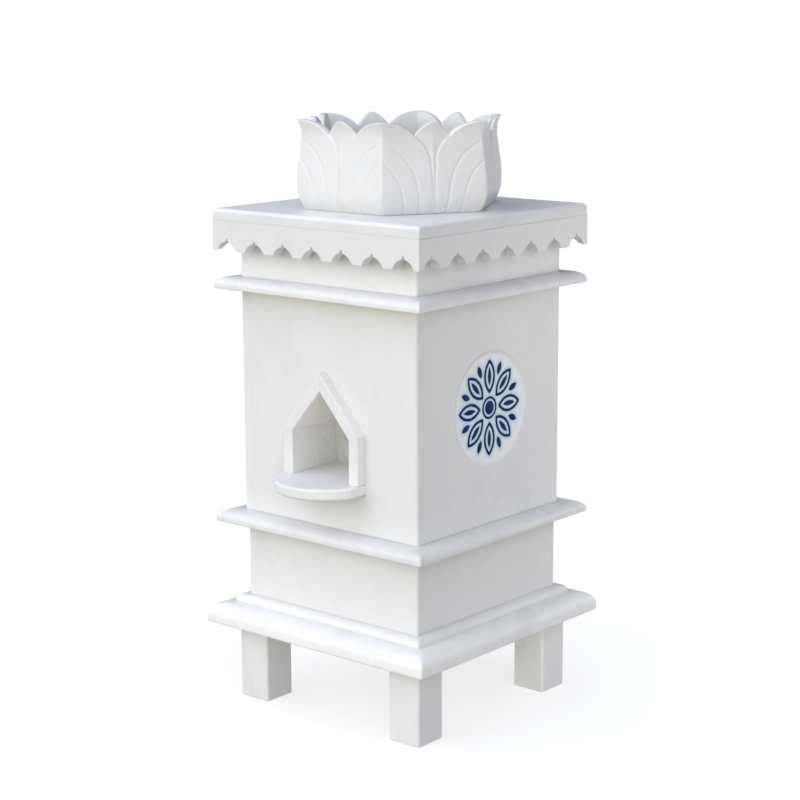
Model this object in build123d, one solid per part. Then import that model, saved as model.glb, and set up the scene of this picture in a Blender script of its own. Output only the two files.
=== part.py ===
from build123d import *
import math
import os

# Tulsi planter in white marble: a square pedestal of slabs and panels on four legs,
# with a lamp niche in its front, an inlaid roundel on its right side, a cusped valance
# under the top slab and a six-sided lotus pot that lifts off.
# Millimetres, +Z up. The origin is on the floor, on the axis shared by every course.
# The front faces -Y and the roundel faces +X.

# ---------------------------------------------------------------- driving dimensions
panel_thickness = 18        # upright boards of the pedestal
slab_thickness = 18         # the three cornice slabs
arris = 1.2                 # flat eased edge on the sawn corners

leg_side = 58
leg_height = 124
leg_inset = 37              # of a leg's outer faces from the base slab's edge
dowel_radius = 6
dowel_in_leg = 40
dowel_in_slab = 18
dowel_glue_gap = 0.25       # all round the dowel
dowel_end_gap = 1           # above the dowel, for glue

shaft_width = 350           # the other courses are set out from the shaft
shaft_height = 350
dado_setback = 3            # of the dado's face behind the shaft's
dado_height = 120
neck_height = 87
base_step_overhang = 16     # of the step past the dado
base_step_thickness = 12
base_step_nose = 6
base_slab_overhang = 33     # of the base slab past its step
base_slab_thickness = 32
base_slab_nose = 19         # round of the top edge
middle_slab_overhang = 33   # of the two cornice slabs past the shaft
upper_slab_overhang = 30
slab_nose = 10.5            # round of a cornice slab's top edge
slab_ease = 4               # bevel of its bottom edge
nose_limit = 0.6            # most that a round takes of a slab's thickness
bevel_limit = 0.3           # most that a bevel takes of it
top_slab_nose = 5
core_drain_radius = 20      # hole in the middle of each slab

valance_gap = 11.5          # between the neck and the back of the valance
valance_height = 46
valance_notches = 7         # on each side
notch_half_width = 20
notch_height = 21
notch_arch_height = 14.5    # where the rounded arch of a notch ends in its spike
notch_spike_half_width = 3
notch_swell = 2.8           # rise of the arch's flank over its chord

niche_board = 18
niche_clear_width = 114
niche_sill_height = 60      # underside of the sill above the foot of the shaft
niche_jamb_height = 67.5
niche_roof_slope = 49.2     # degrees
surround_projection = 16    # how far the surround stands out from the wall
surround_depth = 61
cheek_depth = 38
sill_projection = 81        # of the sill's nose from the wall
sill_end_projection = 32    # of the sill's straight ends from the wall
sill_nose = 4               # bevel of its curved top edge

roundel_radius = 88.5
roundel_height = 179        # centre above the foot of the shaft
roundel_depth = 3
roundel_slope = 6           # width of its sloping rim
inlay_thickness = 2
inlay_glue_gap = 0.1
inlay_stroke = 4
rosette_petals = 8
rosette_petal_reach = 74    # tip of a petal from the centre
rosette_petal_root = 22
rosette_petal_half_width = 13
rosette_bud_radius = 10

pot_height = 135
pot_wall = 12
pot_floor = 20
pot_drain_radius = 10
pot_foot_radius = 153       # to a corner of the hexagon, as are the next four
pot_bulge_radius = 165.5
pot_shoulder_radius = 166
pot_waist_radius = 158.5
pot_tip_radius = 165.5
pot_bulge_height = 22
pot_shoulder_height = 45
pot_waist_height = 114
notch_out = 29.6            # rim notch between petals, from the middle of a face
notch_level = 114.5
petal_flat = 4              # level stretch of the rim at each tip
petal_crown = (55.2, 131.3) # a point of the corner petal's rim, out and up
bud_crown = (16.4, 127.5)   # a point of the middle petal's rim
bud_recess = 3              # how far the middle petal lies behind the corner petals
bud_foot_level = 72         # where the corner petals meet over the middle petal
bud_edge_bend = (0.5, 0.46) # bend of the middle petal's edge, as shares of the way out and up to the notch

# ---------------------------------------------------------------- widths and levels of the courses
dado_width = shaft_width - 2 * dado_setback
base_step_width = dado_width + 2 * base_step_overhang
base_slab_width = base_step_width + 2 * base_slab_overhang
middle_slab_width = shaft_width + 2 * middle_slab_overhang
upper_slab_width = shaft_width + 2 * upper_slab_overhang
top_slab_width = shaft_width + 2 * (valance_gap + panel_thickness)
leg_offset = (base_slab_width - leg_side) / 2 - leg_inset
wall_face = -shaft_width / 2

base_slab_level = leg_height
base_step_level = base_slab_level + base_slab_thickness
dado_level = base_step_level + base_step_thickness
middle_slab_level = dado_level + dado_height
shaft_level = middle_slab_level + slab_thickness
upper_slab_level = shaft_level + shaft_height
neck_level = upper_slab_level + slab_thickness
top_slab_level = neck_level + neck_height
pot_level = top_slab_level + slab_thickness

nodes = {}


# ---------------------------------------------------------------- shared makers
def outer_corner(panel):
    """The upright edge of a front panel that is a corner of the whole course."""
    return panel.edges().filter_by(Axis.Z).sort_by(lambda edge: edge.center().X - edge.center().Y)[-1]


def front_panel(width, level, height):
    """A course's front panel, which reaches the right corner and butts on the left panel."""
    board = Box(width - panel_thickness, panel_thickness, height)
    board = Pos(panel_thickness / 2, (panel_thickness - width) / 2, level + height / 2) * board
    return chamfer(outer_corner(board), arris)


def add_course(name, front):
    """Four equal panels, each a quarter turn from the last: every one hides an end of the next."""
    for turn, side in enumerate(("front", "right", "back", "left")):
        nodes[f"{name}_{side}_panel"] = Rot(0, 0, 90 * turn) * front


def moulded_slab(width, thickness, level, nose, ease):
    """A square slab with a rounded top edge, a bevelled bottom edge and a drain hole."""
    slab = Box(width, width, thickness)
    top_edges = slab.faces().sort_by(Axis.Z)[-1].edges()
    slab = fillet(top_edges, min(nose, nose_limit * thickness))
    bottom_edges = slab.faces().sort_by(Axis.Z)[0].edges()
    slab = chamfer(bottom_edges, min(ease, bevel_limit * thickness))
    slab -= Cylinder(core_drain_radius, thickness)
    return Pos(0, 0, level + thickness / 2) * slab


def prism(outline, front, back):
    """A prism along Y, from y = front to y = back, on a face drawn in x and z."""
    return Pos(0, back, 0) * extrude(Plane.XZ * outline, back - front)


def outline(points):
    """A face bounded by straight lines."""
    return make_face(Polyline(*points, close=True))


def mirrored_face(right_edges):
    """A face closed by edges on the right of the middle line, and by their mirror images."""
    right = Curve() + right_edges
    return make_face([*right.edges(), *mirror(right, Plane.YZ).edges()])


# ---------------------------------------------------------------- legs and dowels
leg = Box(leg_side, leg_side, leg_height)
leg = chamfer(leg.edges().filter_by(Axis.Z), arris)
leg = Pos(0, 0, leg_height / 2) * leg
leg -= Pos(0, 0, leg_height - dowel_in_leg / 2) * Cylinder(dowel_radius + dowel_glue_gap, dowel_in_leg)
leg_places = {"front_left": (-1, -1), "front_right": (1, -1), "rear_left": (-1, 1), "rear_right": (1, 1)}
leg_centres = {name: (x * leg_offset, y * leg_offset) for name, (x, y) in leg_places.items()}
for name, centre in leg_centres.items():
    nodes[f"{name}_leg"] = Pos(*centre) * leg

dowel_length = dowel_in_leg + dowel_in_slab
dowel = Cylinder(dowel_radius, dowel_length)
dowel = Pos(0, 0, leg_height - dowel_in_leg + dowel_length / 2) * dowel
nodes["leg_dowels"] = Compound(children=[Pos(*centre) * dowel for centre in leg_centres.values()])

# ---------------------------------------------------------------- base slab and step
base_slab = moulded_slab(base_slab_width, base_slab_thickness, base_slab_level, base_slab_nose, slab_ease)
dowel_hole_depth = dowel_in_slab + dowel_end_gap
dowel_hole = Cylinder(dowel_radius + dowel_glue_gap, dowel_hole_depth)
for centre in leg_centres.values():
    base_slab -= Pos(*centre, base_slab_level + dowel_hole_depth / 2) * dowel_hole
nodes["base_slab"] = base_slab
nodes["base_step"] = moulded_slab(base_step_width, base_step_thickness, base_step_level, base_step_nose, arris)

# ---------------------------------------------------------------- dado, shaft and neck
add_course("dado", front_panel(dado_width, dado_level, dado_height))
nodes["middle_slab"] = moulded_slab(middle_slab_width, slab_thickness, middle_slab_level, slab_nose, slab_ease)
add_course("shaft", front_panel(shaft_width, shaft_level, shaft_height))
nodes["upper_slab"] = moulded_slab(upper_slab_width, slab_thickness, upper_slab_level, slab_nose, slab_ease)
add_course("neck", front_panel(shaft_width, neck_level, neck_height))
nodes["top_slab"] = moulded_slab(top_slab_width, slab_thickness, top_slab_level, top_slab_nose, arris)

# ---------------------------------------------------------------- lamp niche
# A small gabled house of boards is let into the front panel: a sill that runs right
# through, two jambs and two rafters that stand out from the wall as its surround,
# cheek and ceiling boards behind them, and a back plate.
clear_half = niche_clear_width / 2
house_half = clear_half + niche_board
slope = math.tan(math.radians(niche_roof_slope))
rafter_rise = niche_board / math.cos(math.radians(niche_roof_slope))
sill_bottom = shaft_level + niche_sill_height
sill_top = sill_bottom + niche_board
spring = sill_top + niche_jamb_height
inner_apex = spring + clear_half * slope
outer_apex = inner_apex + rafter_rise
outer_eave = outer_apex - house_half * slope
surround_front = wall_face - surround_projection
surround_back = surround_front + surround_depth
cheek_back = surround_back + cheek_depth
niche_back = cheek_back + niche_board


def house(foot):
    """The gabled outline of the whole niche from a given level up."""
    left = [(-house_half, foot), (-house_half, outer_eave), (0, outer_apex)]
    right = [(house_half, outer_eave), (house_half, foot)]
    return outline(left + right)


upright = outline([(clear_half, sill_top), (house_half, sill_top), (house_half, spring), (clear_half, spring)])
slanted = outline([(clear_half, spring), (house_half, spring), (house_half, outer_eave),
                   (0, outer_apex), (0, inner_apex)])
niche_boards = {"jamb": (upright, surround_front, surround_back),
                "rafter": (slanted, surround_front, surround_back),
                "cheek": (upright, surround_back, cheek_back),
                "ceiling": (slanted, surround_back, cheek_back)}
for name, (section, front, back) in niche_boards.items():
    board = prism(section, front, back)
    nodes[f"niche_right_{name}"] = board
    nodes[f"niche_left_{name}"] = mirror(board, Plane.YZ)
nodes["niche_back"] = prism(house(sill_top), cheek_back, niche_back)
nodes["shaft_front_panel"] -= prism(house(sill_bottom), wall_face - panel_thickness,
                                    wall_face + 2 * panel_thickness)

sill_end = wall_face - sill_end_projection
sill_tip = wall_face - sill_projection
sill_plan = make_face([Line((-house_half, sill_end), (-house_half, niche_back)),
                       Line((-house_half, niche_back), (house_half, niche_back)),
                       Line((house_half, niche_back), (house_half, sill_end)),
                       ThreePointArc((house_half, sill_end), (0, sill_tip), (-house_half, sill_end))])
sill = Pos(0, 0, sill_bottom) * extrude(sill_plan, niche_board)
nose_edge = sill.edges().filter_by(GeomType.CIRCLE).sort_by(Axis.Z)[-1]
sill = chamfer(nose_edge, min(sill_nose, bevel_limit * niche_board))
nodes["niche_sill"] = sill

# ---------------------------------------------------------------- roundel
# A shallow dish in the right panel holds a rosette of blue stone, let in flush with
# the floor of the dish.
roundel_centre = shaft_level + roundel_height
dish = Cone(roundel_radius - roundel_slope, roundel_radius, roundel_depth)
dish = Pos(shaft_width / 2 - roundel_depth / 2, 0, roundel_centre) * Rot(0, 90, 0) * dish
dish_floor = Plane(origin=(shaft_width / 2 - roundel_depth, 0, roundel_centre), x_dir=(0, 1, 0), z_dir=(1, 0, 0))


def leaf(half_length, half_width, grow):
    """A pointed oval along X where two equal circles overlap; grow moves both edges out."""
    radius = (half_length**2 + half_width**2) / (2 * half_width)
    shift = radius - half_width
    return (Pos(0, shift) * Circle(radius + grow)) & (Pos(0, -shift) * Circle(radius + grow))


def rosette(grow):
    """The rosette's drawing: a round bud and a ring of petals, each an outline of one stroke."""
    half_length = (rosette_petal_reach - rosette_petal_root) / 2
    middle = (rosette_petal_reach + rosette_petal_root) / 2
    petal = leaf(half_length, rosette_petal_half_width, grow)
    petal -= leaf(half_length, rosette_petal_half_width, -inlay_stroke - grow)
    step = 360 / rosette_petals
    petals = [Rot(0, 0, step * turn) * Pos(middle, 0) * petal for turn in range(rosette_petals)]
    return [Circle(rosette_bud_radius + grow)] + petals


def let_in(shapes, depth):
    """Upright pieces of a drawing that reach down into the dish's floor."""
    return [dish_floor * extrude(shape, -depth) for shape in shapes]


nodes["shaft_right_panel"] -= [dish] + let_in(rosette(inlay_glue_gap), inlay_thickness)
nodes["roundel_inlay"] = Compound(children=let_in(rosette(0), inlay_thickness))

# ---------------------------------------------------------------- valance
# Cusped boards hang from the top slab, flush with its edge and clear of the neck.
pitch = top_slab_width / valance_notches
valance_level = top_slab_level - valance_height


def notch(centre):
    """A keel-arch cut through the front board's lower edge: a rounded arch that ends in a spike."""
    foot = (notch_half_width, valance_level)
    spike = (notch_spike_half_width, valance_level + notch_arch_height)
    tip = (0, valance_level + notch_height)
    flank = [Line((0, valance_level), foot), SagittaArc(foot, spike, -notch_swell), Line(spike, tip)]
    cut = prism(mirrored_face(flank), -top_slab_width / 2, -top_slab_width / 2 + panel_thickness)
    return Pos(centre, 0, 0) * cut


notch_centres = [(place + 0.5) * pitch - top_slab_width / 2 for place in range(valance_notches)]
front_notches = [notch(centre) for centre in notch_centres]
corner_notch = Rot(0, 0, 90) * front_notches[0]
valance_front = front_panel(top_slab_width, valance_level, valance_height)
valance_front -= front_notches + [corner_notch]
add_course("valance", valance_front)

# ---------------------------------------------------------------- lotus pot
# Six faces of one curved section meet at mitred corners. The rim rises to a flared
# petal tip at each corner and to a smaller petal in the middle of each face, which
# lies a little behind its neighbours.
apothem = math.cos(math.radians(30))
beyond = 2 * pot_tip_radius     # well outside the pot


def pot_section(inset):
    """The pot's section square to two opposite faces, brought in on both sides by inset."""
    foot = (pot_foot_radius * apothem - inset, 0)
    bulge = (pot_bulge_radius * apothem - inset, pot_bulge_height)
    shoulder_point = (pot_shoulder_radius * apothem - inset, pot_shoulder_height)
    waist = (pot_waist_radius * apothem - inset, pot_waist_height)
    tip = (pot_tip_radius * apothem - inset, pot_height)
    belly = ThreePointArc(foot, bulge, shoulder_point)
    side = TangentArc(shoulder_point, waist, tangent=belly % 1)
    lip = TangentArc(waist, tip, tangent=side % 1)
    right = Curve() + [belly, side, lip]
    left = mirror(right, Plane.YZ)
    rim = Line(tip, (-tip[0], pot_height))
    bottom = Line(foot, (-foot[0], 0))
    return make_face([*right.edges(), *left.edges(), rim, bottom])


def six_sided(inset):
    """The hexagonal solid that three double-sided prisms share."""
    pair = prism(pot_section(inset), -beyond, beyond)
    return (Rot(0, 0, 90) * pair) & (Rot(0, 0, 30) * pair) & (Rot(0, 0, -30) * pair)


def face_cut(drawing):
    """A drawing on the -Y face, carried inwards to the axis and kept to that face's sixth."""
    block = prism(drawing, -beyond, 0)
    half = beyond * math.tan(math.radians(30))
    sixth = outline([(0, 0), (-half, -beyond), (half, -beyond)])
    return block & extrude(sixth, 2 * pot_height)


def all_faces(cut):
    """The same cut on each of the six faces."""
    return [Rot(0, 0, 60 * turn) * cut for turn in range(6)]


face_half = pot_tip_radius / 2
over = pot_height + pot_wall
notch_point = (notch_out, notch_level)
flat_start = (face_half - petal_flat, pot_height)
petal_rim = ThreePointArc(notch_point, petal_crown, flat_start)
bud_rim = ThreePointArc((0, pot_height), bud_crown, notch_point)
rim_edges = [bud_rim, petal_rim, Line(flat_start, (2 * face_half, pot_height)),
             Line((2 * face_half, pot_height), (2 * face_half, over)), Line((2 * face_half, over), (0, over))]
rim_drawing = mirrored_face(rim_edges)
bend_out, bend_up = bud_edge_bend
bend = (bend_out * notch_out, bud_foot_level + bend_up * (notch_level - bud_foot_level))
bud_edge = ThreePointArc((0, bud_foot_level), bend, notch_point)
bud_drawing = mirrored_face([bud_edge, Line(notch_point, (notch_out, over)), Line((notch_out, over), (0, over))])

pot = six_sided(0)
hollow = six_sided(pot_wall) - Pos(0, 0, pot_floor / 2) * Box(2 * beyond, 2 * beyond, pot_floor)
bud_cut = face_cut(bud_drawing) - six_sided(bud_recess)
pot -= all_faces(bud_cut)
pot -= [hollow] + all_faces(face_cut(rim_drawing))
pot -= Pos(0, 0, pot_floor / 2) * Cylinder(pot_drain_radius, pot_floor)
nodes["lotus_pot"] = Pos(0, 0, pot_level) * pot

# ---------------------------------------------------------------- one file for each piece
os.makedirs("parts", exist_ok=True)
for name, piece in nodes.items():
    export_step(piece, f"parts/{name}.step")
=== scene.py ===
import math

import bmesh
import bpy
import numpy as np
from mathutils import Matrix, Vector


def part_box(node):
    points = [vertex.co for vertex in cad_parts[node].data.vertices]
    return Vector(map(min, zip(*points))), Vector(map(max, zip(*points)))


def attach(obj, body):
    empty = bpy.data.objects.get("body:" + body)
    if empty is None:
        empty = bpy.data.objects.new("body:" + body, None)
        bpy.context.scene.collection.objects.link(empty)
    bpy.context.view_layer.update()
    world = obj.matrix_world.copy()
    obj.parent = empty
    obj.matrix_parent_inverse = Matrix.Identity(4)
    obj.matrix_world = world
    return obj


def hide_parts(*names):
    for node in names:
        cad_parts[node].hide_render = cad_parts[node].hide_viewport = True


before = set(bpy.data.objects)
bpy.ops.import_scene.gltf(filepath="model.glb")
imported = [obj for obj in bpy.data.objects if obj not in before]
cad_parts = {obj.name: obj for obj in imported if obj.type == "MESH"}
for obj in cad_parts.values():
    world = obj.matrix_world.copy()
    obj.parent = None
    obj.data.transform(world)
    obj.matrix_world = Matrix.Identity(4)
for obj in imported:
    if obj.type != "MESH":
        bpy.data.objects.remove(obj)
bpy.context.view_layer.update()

# ---------------- legs
# Four square legs of white marble carry the planter. Each is sawn from one block, its
# edges are rubbed down by hand, and it is glued under the base slab over a steel dowel.
MM = 0.001
LEG_EDGE = 4.5 * MM
LEG_FOOT_EDGE, LEG_HEAD_EDGE = 3 * MM, 0.4 * MM
LEG_TONE, LEG_PAINTED_LIFT = 1.04, 0.035  # the first leg's brightness, and how much paler each next one is painted: painted light, so the rear legs look more brightly lit
FLAT = 0.5 * MM  # stretch beside a rounded edge that keeps the flat next to it flat
SHARPEST = 0.02 * MM  # least radius of an edge
UP = np.eye(3)  # a section drawn in x and y, carried up along z
WHITE = (0.75, 0.748, 0.74, 1)
CLOUD = (0.70, 0.702, 0.708, 1)
VEIN = (0.60, 0.61, 0.63, 1)
HONEY = (0.72, 0.685, 0.62, 1)
BEDDING = (0.3, 0.5, 0.2)  # how the veins lie in every block, as a turn
WAVE_DEPTH = 4 * MM  # of the waves and the crystals together
# the grey that a leg turns, darker towards its foot
FOOT_GREY = (0.62, 0.64, 0.68, 1)
FOOT_GREY_RISE = 160 * MM  # how far up from the floor a leg turns greyer
FOOT_GREY_SHARE = 0.35


def rectangle(low_a, low_b, high_a, high_b):
    """The four corners of a rectangle, anticlockwise."""
    return np.array([[low_a, low_b], [high_a, low_b], [high_a, high_b], [low_a, high_b]], float)


def unit(vectors):
    """Vectors brought to a length of 1."""
    return vectors / np.linalg.norm(vectors, axis=-1, keepdims=True)


def at_heights(flat, heights):
    """Flat rings (rows, points, 2), each row set to its height."""
    heights = np.broadcast_to(heights[:, None, None], flat.shape[:2] + (1,))
    return np.concatenate([flat, heights], axis=2)


def moved_in(corners, insets, shares=1.0):
    """An outline's corners moved inwards by each of the insets, as (rows, corners, 2).

    Each edge moves along its inward normal by its own share of the inset and stays parallel
    to itself. So a corner moves by the vector whose dot products with the normals of its two
    edges are their shares, which the inverse of those normals gives.
    """
    edges = unit(np.roll(corners, -1, axis=0) - corners)
    normals = np.stack([-edges[:, 1], edges[:, 0]], axis=1)
    pairs = np.stack([np.roll(normals, 1, axis=0), normals], axis=1)
    shares = np.broadcast_to(shares, len(corners))
    wanted = np.stack([np.roll(shares, 1), shares], axis=1)
    mitre = (np.linalg.pinv(pairs) @ wanted[..., None])[..., 0]
    return corners + np.asarray(insets)[:, None, None] * mitre


def rounded(corners, radii, steps):
    """Outlines (rows, corners, 2) with a true arc at every corner.

    An arc is the rational quadratic curve between the two points one tangent length from
    the corner, with the corner as its control point and the cosine of half the turn as
    its weight. Tangent length is radius times the tangent of half the turn, and at most
    two fifths of the shorter edge. A point beside each end of the arc closes the flat.
    """
    before = np.roll(corners, 1, axis=1) - corners
    after = np.roll(corners, -1, axis=1) - corners
    length_before = np.linalg.norm(before, axis=2, keepdims=True)
    length_after = np.linalg.norm(after, axis=2, keepdims=True)
    before, after = before / length_before, after / length_after
    cosine = np.clip(-np.sum(before * after, axis=2, keepdims=True), -0.99, 1)
    shorter = np.minimum(length_before, length_after)
    tangent = np.asarray(radii)[..., None] * np.sqrt((1 - cosine) / (1 + cosine))
    tangent = np.minimum(tangent, 0.4 * shorter)[..., None]
    flat = np.minimum(FLAT, 0.08 * shorter)[..., None]
    weight = np.sqrt((1 + cosine) / 2)[..., None]
    corner, before, after = corners[:, :, None], before[:, :, None], after[:, :, None]
    along = np.linspace(0, 1, steps + 1)[None, None, :, None]
    start, end = (1 - along)**2, along**2
    middle = 2 * along * (1 - along) * weight
    arc = start * (corner + before * tangent) + middle * corner + end * (corner + after * tangent)
    arc = arc / (start + middle + end)
    ring = [corner + before * (tangent + flat), arc, corner + after * (tangent + flat)]
    return np.concatenate(ring, axis=2).reshape(len(corners), -1, 2)


def bent(points, radii, steps):
    """An open line with rounded corners: the closed line's, without what its two ends give."""
    ring = rounded(np.array([points], float), np.array([radii]), steps)
    return ring.reshape(len(points), -1, 2)[1:-1].reshape(-1, 2)


def edge_profile(start, end, start_round, end_round, steps=5, reach=1.5):
    """The (inset, height) of each ring of a piece: over one rounded edge, along the side, over the other.
    The reach says how many roundings deep the flat of each end starts."""
    deepest = reach * max(start_round, end_round) + FLAT
    side = [(deepest, start), (0, start), (0, end), (deepest, end)]
    return bent(side, (0, start_round, end_round, 0), steps)


def mesh_piece(name, vertices, faces):
    """A smooth-shaded object at the origin from vertices in metres and a list of faces."""
    mesh = bpy.data.meshes.new(name)
    mesh.from_pydata(vertices.tolist(), [], faces)
    mesh.shade_smooth()
    piece = bpy.data.objects.new(name, mesh)
    bpy.context.scene.collection.objects.link(piece)
    return piece


def ring_faces(rows, points, loop=False):
    """Quads between each ring and the next, and from the last to the first if the rings form a loop."""
    row = np.arange(rows if loop else rows - 1)[:, None]
    here = row * points
    there = (row + 1) % rows * points
    point = np.arange(points)[None]
    after = (point + 1) % points
    quads = [here + point, here + after, there + after, there + point]
    return np.stack(quads, axis=-1).reshape(-1, 4).tolist()


def capped_faces(rows, points):
    """The faces of stacked rings, with a flat cap on the first and on the last."""
    caps = [list(range(points))[::-1], list(range((rows - 1) * points, rows * points))]
    return ring_faces(rows, points) + caps


def solid(name, rings):
    """A closed piece from stacked rings (rows, points, 3)."""
    return mesh_piece(name, rings.reshape(-1, 3), capped_faces(*rings.shape[:2]))


def carried(corners, profile, edge, steps=4):
    """Rings of a section: each row of corners, rounded by the edge's radius less the row's inset, at the
    row's height."""
    radii = np.maximum(edge - profile[:, :1], SHARPEST)
    return at_heights(rounded(corners, radii, steps), profile[:, 1])


def prism(name, outline, profile, edge, axes=UP, steps=4, shares=1.0):
    """A piece of one section: the outline carried along the profile's heights, moved in by its insets."""
    rings = carried(moved_in(outline, profile[:, 0], shares), profile, edge, steps)
    return solid(name, rings @ axes)


class Value:
    """A shader socket in an expression: each operator adds the Math node that works it out."""

    def __init__(self, recipe, socket):
        self.recipe, self.socket = recipe, socket

    def maths(self, operation, *values):
        return self.recipe.node("ShaderNodeMath", dict(enumerate(values)), operation=operation)

    def __add__(self, other):
        return self.maths("ADD", self, other)

    def __sub__(self, other):
        return self.maths("SUBTRACT", self, other)

    def __rsub__(self, other):
        return self.maths("SUBTRACT", other, self)

    def __mul__(self, other):
        return self.maths("MULTIPLY", self, other)

    def __abs__(self):
        return self.maths("ABSOLUTE", self)

    __radd__, __rmul__ = __add__, __mul__

    def band(self, low, high):
        """0 below low, 1 above high and a soft step between; high below low turns it round."""
        inputs = {"Value": self, "From Min": low, "From Max": high}
        return self.recipe.node("ShaderNodeMapRange", inputs, interpolation_type="SMOOTHSTEP")


class Recipe:
    """A material's nodes, one method for every kind of node."""

    def __init__(self, name):
        self.material = bpy.data.materials.new(name)
        self.material.use_nodes = True
        self.tree = self.material.node_tree
        self.tree.nodes.clear()

    def node(self, kind, inputs, output=0, **settings):
        node = self.tree.nodes.new(kind)
        for setting, value in settings.items():
            setattr(node, setting, value)
        for socket, value in inputs.items():
            if isinstance(value, Value):
                self.tree.links.new(value.socket, node.inputs[socket])
            else:
                node.inputs[socket].default_value = value
        return Value(self, node.outputs[output]) if node.outputs else None

    def place(self, shift, turn=(0, 0, 0)):
        """The piece's own coordinates, moved and turned so that no two blocks show the same veins."""
        at = self.node("ShaderNodeTexCoord", {}, output="Object")
        return self.node("ShaderNodeMapping", {"Vector": at, "Location": shift, "Rotation": turn})

    def level(self):
        """Height above the floor."""
        at = self.node("ShaderNodeTexCoord", {}, output="Object")
        return self.node("ShaderNodeSeparateXYZ", {"Vector": at}, output="Z")

    def painted(self, attribute):
        """The mesh's own attribute."""
        return self.node("ShaderNodeAttribute", {}, output="Fac", attribute_name=attribute)

    def vectors(self, operation, first, second):
        return self.node("ShaderNodeVectorMath", {0: first, 1: second}, operation=operation)

    def noise(self, at, scale, detail=3, roughness=0.5, output=0):
        inputs = {"Vector": at, "Scale": scale, "Detail": detail, "Roughness": roughness}
        return self.node("ShaderNodeTexNoise", inputs, output=output)

    def mix(self, factor, first, second):
        return self.node("ShaderNodeMix", {0: factor, 6: first, 7: second}, output=2, data_type="RGBA")

    def finish(self, **surface):
        """The material, from the principled shader's sockets, written with _ for a space."""
        inputs = {socket.replace("_", " "): value for socket, value in surface.items()}
        shader = self.node("ShaderNodeBsdfPrincipled", inputs)
        self.node("ShaderNodeOutputMaterial", {"Surface": shader})
        return self.material


def marble(name, shift, tone=1.0, cloud=0.5, veins=0.35, honey=0.16, mottle=0.12, tooth=0.10, tints=()):
    """White marble, sawn and honed: soft grey clouds, faint veins, a little honey-coloured iron stain,
    small grey patches, fine crystals and the long waves that rubbing leaves. Each tint is a function of
    the recipe that says where it lies, and its colour."""
    recipe = Recipe(name)
    white, cloudy, grey, iron = (tuple(tone * channel for channel in colour[:3]) + (1,)
                                 for colour in (WHITE, CLOUD, VEIN, HONEY))
    at = recipe.place(shift, BEDDING)
    drift = recipe.noise(at, 3.0, detail=4, roughness=0.6, output="Color")
    warped = recipe.vectors("ADD", at, recipe.vectors("MULTIPLY", drift, (0.22, 0.22, 0.22)))
    stretched = recipe.vectors("MULTIPLY", warped, (1, 1, 0.45))
    clouds = recipe.noise(stretched, 7.0, detail=5, roughness=0.62).band(0.40, 0.72)
    vein_field = recipe.noise(stretched, 4.2, detail=6, roughness=0.55)
    vein_lines = abs(vein_field - 0.5).band(0.045, 0.0)
    strength = recipe.noise(at, 6.0, detail=2).band(0.42, 0.68)
    iron_stain = recipe.noise(warped, 5.0, detail=4, roughness=0.7).band(0.58, 0.78)
    patches = recipe.noise(warped, 42.0, detail=4, roughness=0.65).band(0.46, 0.66)
    colour = recipe.mix(clouds * cloud, white, cloudy)
    colour = recipe.mix(vein_lines * strength * veins, colour, grey)
    colour = recipe.mix(iron_stain * honey, colour, iron)
    colour = recipe.mix(patches * mottle, colour, grey)
    for where, tint in tints:
        colour = recipe.mix(where(recipe), colour, tint)
    crystals = recipe.noise(at, 700.0, detail=2)
    waves = recipe.noise(at, 26.0, detail=3, roughness=0.45)
    height = waves * 0.6 + crystals * 0.05
    bump = recipe.node("ShaderNodeBump", {"Strength": tooth, "Distance": WAVE_DEPTH, "Height": height})
    roughness = clouds * 0.08 + crystals * 0.10 + 0.36
    return recipe.finish(Base_Color=colour, Roughness=roughness, Normal=bump,
                         Subsurface_Weight=0.12, Subsurface_Radius=(0.012, 0.010, 0.008),
                         Subsurface_Scale=1.0, IOR=1.49)


def settle(piece, material, slot, *nodes, body="pedestal"):
    """Gives a piece its material, the body that it rides on and the CAD nodes that it stands for."""
    piece.data.materials.append(material)
    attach(piece, body)
    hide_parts(*nodes)


def clad(piece, node, shift, **look):
    """Gives a piece of the pedestal its own block of marble."""
    settle(piece, marble(node + "_marble", shift, **look), "pedestal_marble", node)


def block_outline(node):
    """A box-shaped node's plan, and its lowest and highest level."""
    low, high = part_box(node)
    return rectangle(low[0], low[1], high[0], high[1]), low[2], high[2]


for number, node in enumerate(("front_left_leg", "front_right_leg", "rear_left_leg", "rear_right_leg")):
    plan, foot, head = block_outline(node)
    leg = prism(node + "_stone", plan, edge_profile(foot, head, LEG_FOOT_EDGE, LEG_HEAD_EDGE), LEG_EDGE)
    # each later leg is painted paler, painted light that makes the rear legs look more brightly lit
    clad(leg, node, (1.7 * number, 0.4, 0.9 * number), tone=LEG_TONE + LEG_PAINTED_LIFT * number,
         cloud=1.0, veins=0.9, honey=0.3, mottle=0.3,
         tints=[(lambda recipe: recipe.level().band(FOOT_GREY_RISE, 0.0) * FOOT_GREY_SHARE, FOOT_GREY)])

# ---------------- leg dowels
# A stainless rod stands glued in each leg and in the base slab above it. Nothing of it
# shows once the planter is put together.
steel = Recipe("dowel_rod_steel")
drawn = steel.noise(steel.vectors("MULTIPLY", steel.place((0, 0, 0)), (900, 900, 20)), 1.0)
rod = steel.finish(Base_Color=steel.mix(drawn, (0.50, 0.50, 0.51, 1), (0.64, 0.64, 0.65, 1)),
                   Roughness=drawn * 0.2 + 0.25, Metallic=1.0)
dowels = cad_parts["leg_dowels"]
dowels.data.materials.clear()
dowels.data.materials.append(rod)

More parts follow.
